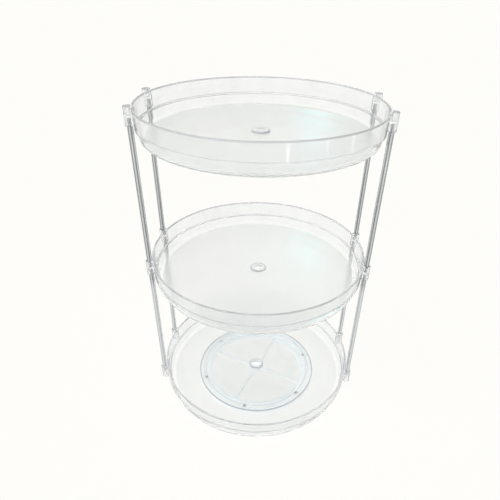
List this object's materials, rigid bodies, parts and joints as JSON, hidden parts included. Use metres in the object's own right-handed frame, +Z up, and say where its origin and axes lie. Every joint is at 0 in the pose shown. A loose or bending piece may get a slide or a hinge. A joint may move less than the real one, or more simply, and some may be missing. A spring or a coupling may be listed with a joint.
{
  "type": "rotating makeup organizer",
  "caption": "Open stand of round clear trays held one above another by slim polished posts, turning on a ball-bearing base so that cosmetics on any side come to the front.",
  "frame": {"origin": "on the table, under the middle of the stand, at the undersides of the foot pads", "axes": "+Z up along the axis that the trays turn on, -Y to the front as pictured, +X to the right across the post sockets"},
  "size_m": [0.245, 0.2418, 0.365],
  "materials": {
    "clear_plastic": "clear moulded, polished walls and frosted floors",
    "polished_steel": "polished thin tube",
    "bearing_steel": "plain",
    "milky_plastic": "milky translucent, bluish white",
    "clear_silicone": "clear soft pad"
  },
  "bodies": {
    "base": {"turntable_base": "milky_plastic", "pivot_pin": "milky_plastic", "retaining_washer": "milky_plastic", "foot_pad_1": "clear_silicone", "foot_pad_2": "clear_silicone", "foot_pad_3": "clear_silicone", "foot_pad_4": "clear_silicone"},
    "carousel": {"tray_bottom": "clear_plastic", "tray_middle": "clear_plastic", "tray_top": "clear_plastic", "centre_cap_bottom": "clear_plastic", "centre_cap_middle": "clear_plastic", "centre_cap_top": "clear_plastic", "socket_cap_front_left": "clear_plastic", "socket_cap_front_right": "clear_plastic", "socket_cap_back_left": "clear_plastic", "socket_cap_back_right": "clear_plastic", "post_lower_front_left": "polished_steel", "post_lower_front_right": "polished_steel", "post_lower_back_left": "polished_steel", "post_lower_back_right": "polished_steel", "post_upper_front_left": "polished_steel", "post_upper_front_right": "polished_steel", "post_upper_back_left": "polished_steel", "post_upper_back_right": "polished_steel", "race_plate": "clear_plastic"},
    "bearing": {"ball_cage": "milky_plastic", "bearing_balls": "bearing_steel"}
  },
  "joints": [
    {"name": "carousel_spin", "type": "hinge", "parent": "base", "child": "carousel", "pos_m": [0, 0, 0.006], "axis": [0, 0, 1], "continuous": true},
    {"name": "bearing_spin", "type": "hinge", "parent": "base", "child": "bearing", "pos_m": [0, 0, 0.00455], "axis": [0, 0, 1], "continuous": true}
  ],
  "couplings": [
    {"joint": "bearing_spin", "follows": "carousel_spin", "ratio": 0.5}
  ]
}
